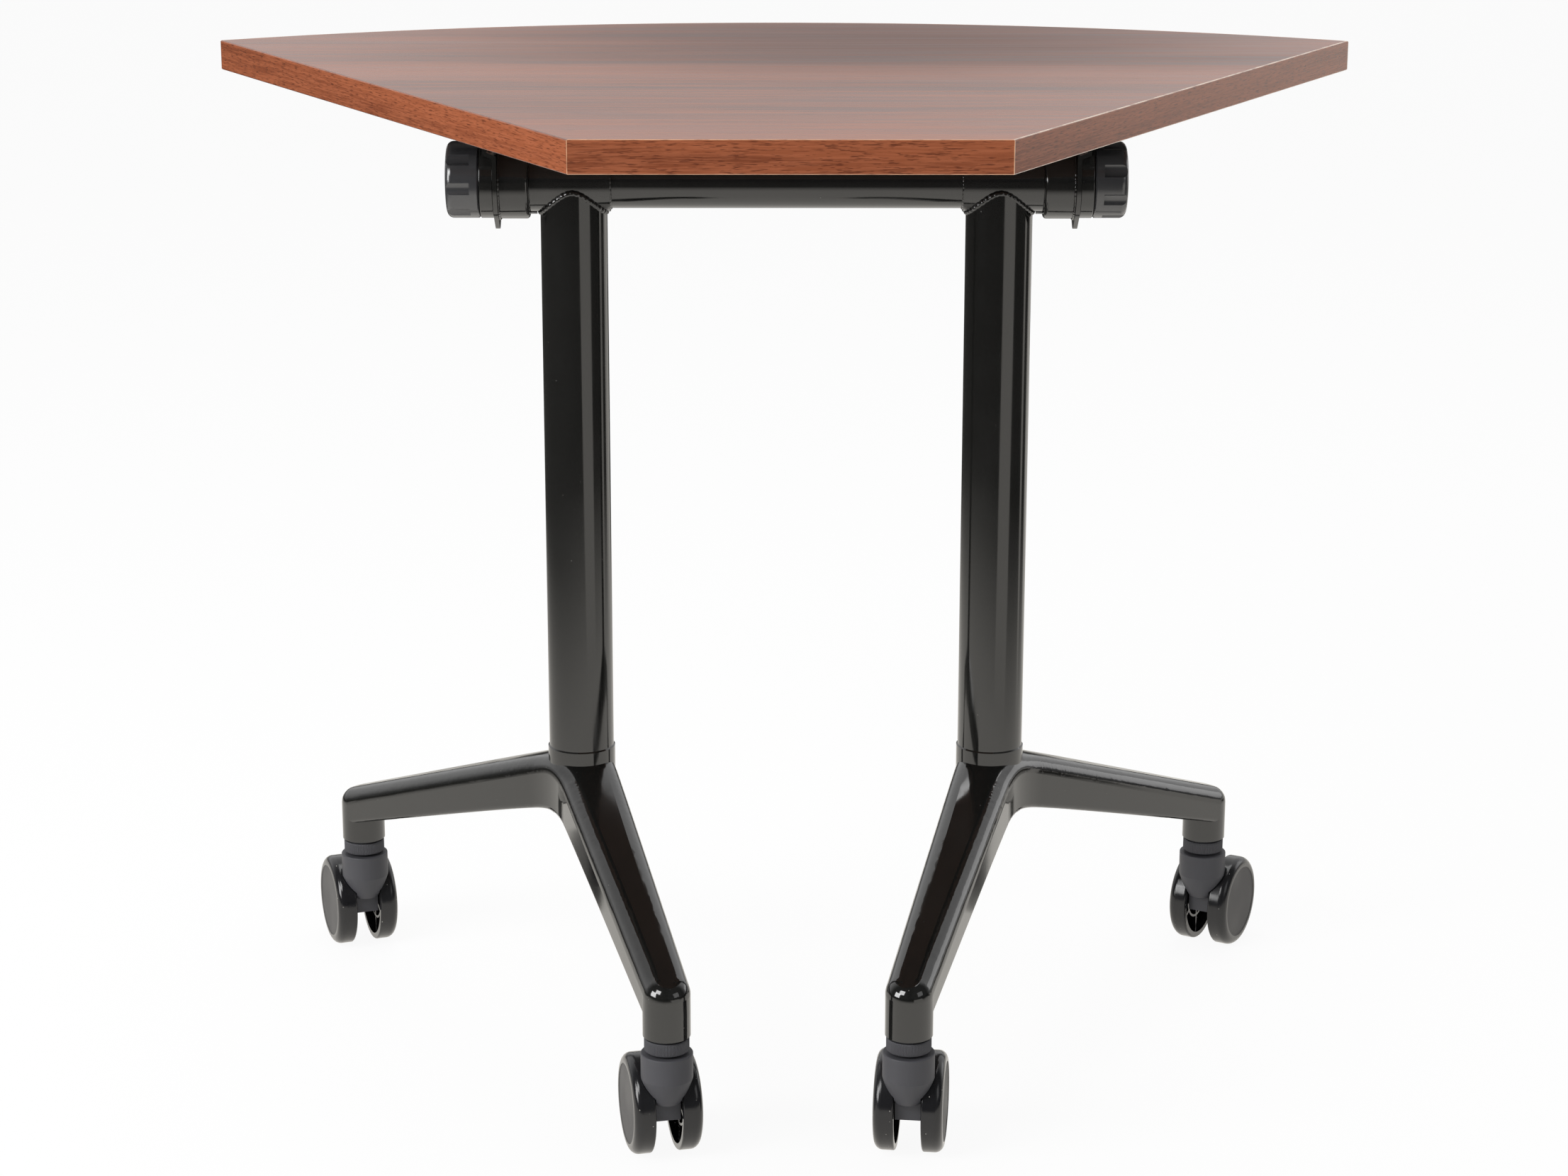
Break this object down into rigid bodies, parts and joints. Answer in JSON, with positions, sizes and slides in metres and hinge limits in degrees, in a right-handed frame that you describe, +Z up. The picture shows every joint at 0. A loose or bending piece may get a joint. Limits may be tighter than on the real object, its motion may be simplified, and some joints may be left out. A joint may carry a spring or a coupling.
{
  "type": "folding corner desk",
  "caption": "Flip-top corner desk: a fan-shaped wood-grain worktop tilts on a cross beam between black columns that stand on splayed cast feet with swivel casters.",
  "frame": {"origin": "on the floor, under the middle of the desk's plan box", "axes": "+X to the right as seen from the short inner edge, +Y from that edge to the curved outer edge, +Z up"},
  "size_m": [0.892, 0.6391, 0.762],
  "materials": {
    "wood_laminate": "semi-gloss dark walnut laminate, grain along the width",
    "edge_band": "satin wood-print edge band",
    "chipboard": "raw chipboard",
    "backing": "matte balance laminate",
    "black_paint": "gloss black powder coat on steel",
    "foot_paint": "gloss black paint on a casting",
    "knob_plastic": "satin black moulded plastic",
    "caster_plastic": "fine-textured dark grey moulded plastic",
    "wheel_plastic": "gloss black, slightly dusty",
    "nylon": "natural nylon",
    "steel": "zinc-plated steel",
    "stem_zinc": "black-zinc knurled steel"
  },
  "bodies": {
    "base": {"cross_beam": "black_paint", "column_plugs": "steel", "foot_bolts": "steel", "beam_nuts": "steel", "head_left": "black_paint", "column_left": "black_paint", "foot_left": "foot_paint", "head_right": "black_paint", "column_right": "black_paint", "foot_right": "foot_paint", "caster_stem_front_left": "stem_zinc", "caster_stem_front_right": "stem_zinc", "caster_stem_rear_left": "stem_zinc", "caster_stem_rear_right": "stem_zinc"},
    "top": {"core_board": "chipboard", "top_laminate": "wood_laminate", "backing_laminate": "backing", "edge_band_front": "edge_band", "edge_band_left": "edge_band", "edge_band_right": "edge_band", "edge_band_rear": "edge_band", "hinge_bushes": "nylon", "bracket_screws": "steel", "stop_pins": "steel", "bracket_left": "black_paint", "hinge_sleeve_left": "black_paint", "bracket_right": "black_paint", "hinge_sleeve_right": "black_paint"},
    "clamp_left": {"thrust_ring_left": "black_paint"},
    "knob_left": {"knob_left": "knob_plastic", "knob_spindle_left": "steel"},
    "clamp_right": {"thrust_ring_right": "black_paint"},
    "knob_right": {"knob_right": "knob_plastic", "knob_spindle_right": "steel"},
    "caster_front_left": {"caster_housing_front_left": "caster_plastic", "caster_axle_front_left": "steel"},
    "wheel_front_left_a": {"wheel_front_left_a": "wheel_plastic", "wheel_cap_front_left_a": "caster_plastic"},
    "wheel_front_left_b": {"wheel_front_left_b": "wheel_plastic", "wheel_cap_front_left_b": "caster_plastic"},
    "caster_front_right": {"caster_housing_front_right": "caster_plastic", "caster_axle_front_right": "steel"},
    "wheel_front_right_a": {"wheel_front_right_a": "wheel_plastic", "wheel_cap_front_right_a": "caster_plastic"},
    "wheel_front_right_b": {"wheel_front_right_b": "wheel_plastic", "wheel_cap_front_right_b": "caster_plastic"},
    "caster_rear_left": {"caster_housing_rear_left": "caster_plastic", "caster_axle_rear_left": "steel"},
    "wheel_rear_left_a": {"wheel_rear_left_a": "wheel_plastic", "wheel_cap_rear_left_a": "caster_plastic"},
    "wheel_rear_left_b": {"wheel_rear_left_b": "wheel_plastic", "wheel_cap_rear_left_b": "caster_plastic"},
    "caster_rear_right": {"caster_housing_rear_right": "caster_plastic", "caster_axle_rear_right": "steel"},
    "wheel_rear_right_a": {"wheel_rear_right_a": "wheel_plastic", "wheel_cap_rear_right_a": "caster_plastic"},
    "wheel_rear_right_b": {"wheel_rear_right_b": "wheel_plastic", "wheel_cap_rear_right_b": "caster_plastic"}
  },
  "joints": [
    {"name": "top_tilt", "type": "hinge", "parent": "base", "child": "top", "pos_m": [0, 0.01244, 0.682], "axis": [1, 0, 0], "range_deg": [0, 90]},
    {"name": "clamp_slide_left", "type": "slide", "parent": "base", "child": "clamp_left", "axis": [-1, 0, 0], "range_m": [0, 0.0005]},
    {"name": "knob_turn_left", "type": "hinge", "parent": "clamp_left", "child": "knob_left", "pos_m": [-0.239, 0.01244, 0.682], "axis": [-1, 0, 0], "range_deg": [0, 180]},
    {"name": "clamp_slide_right", "type": "slide", "parent": "base", "child": "clamp_right", "axis": [1, 0, 0], "range_m": [0, 0.0005]},
    {"name": "knob_turn_right", "type": "hinge", "parent": "clamp_right", "child": "knob_right", "pos_m": [0.239, 0.01244, 0.682], "axis": [1, 0, 0], "range_deg": [0, 180]},
    {"name": "caster_swivel_front_left", "type": "hinge", "parent": "base", "child": "caster_front_left", "pos_m": [-0.08761, -0.23653, 0.087], "axis": [0, 0, 1], "continuous": true},
    {"name": "wheel_spin_front_left_a", "type": "hinge", "parent": "caster_front_left", "child": "wheel_front_left_a", "pos_m": [-0.09346, -0.21119, 0.0375], "axis": [0.9744, 0.225, 0], "continuous": true},
    {"name": "wheel_spin_front_left_b", "type": "hinge", "parent": "caster_front_left", "child": "wheel_front_left_b", "pos_m": [-0.09346, -0.21119, 0.0375], "axis": [0.9744, 0.225, 0], "continuous": true},
    {"name": "caster_swivel_front_right", "type": "hinge", "parent": "base", "child": "caster_front_right", "pos_m": [0.08761, -0.23653, 0.087], "axis": [0, 0, 1], "continuous": true},
    {"name": "wheel_spin_front_right_a", "type": "hinge", "parent": "caster_front_right", "child": "wheel_front_right_a", "pos_m": [0.091, -0.21075, 0.0375], "axis": [0.9914, -0.1305, 0], "continuous": true},
    {"name": "wheel_spin_front_right_b", "type": "hinge", "parent": "caster_front_right", "child": "wheel_front_right_b", "pos_m": [0.091, -0.21075, 0.0375], "axis": [0.9914, -0.1305, 0], "continuous": true},
    {"name": "caster_swivel_rear_left", "type": "hinge", "parent": "base", "child": "caster_rear_left", "pos_m": [-0.35147, 0.18574, 0.087], "axis": [0, 0, 1], "continuous": true},
    {"name": "wheel_spin_rear_left_a", "type": "hinge", "parent": "caster_rear_left", "child": "wheel_rear_left_a", "pos_m": [-0.36037, 0.21018, 0.0375], "axis": [0.9397, 0.342, 0], "continuous": true},
    {"name": "wheel_spin_rear_left_b", "type": "hinge", "parent": "caster_rear_left", "child": "wheel_rear_left_b", "pos_m": [-0.36037, 0.21018, 0.0375], "axis": [0.9397, 0.342, 0], "continuous": true},
    {"name": "caster_swivel_rear_right", "type": "hinge", "parent": "base", "child": "caster_rear_right", "pos_m": [0.35147, 0.18574, 0.087], "axis": [0, 0, 1], "continuous": true},
    {"name": "wheel_spin_rear_right_a", "type": "hinge", "parent": "caster_rear_right", "child": "wheel_rear_right_a", "pos_m": [0.36408, 0.20849, 0.0375], "axis": [0.8746, -0.4848, 0], "continuous": true},
    {"name": "wheel_spin_rear_right_b", "type": "hinge", "parent": "caster_rear_right", "child": "wheel_rear_right_b", "pos_m": [0.36408, 0.20849, 0.0375], "axis": [0.8746, -0.4848, 0], "continuous": true}
  ],
  "couplings": [
    {"joint": "clamp_slide_left", "follows": "knob_turn_left", "m_per_rad": 0.000159},
    {"joint": "clamp_slide_right", "follows": "knob_turn_right", "m_per_rad": 0.000159}
  ]
}
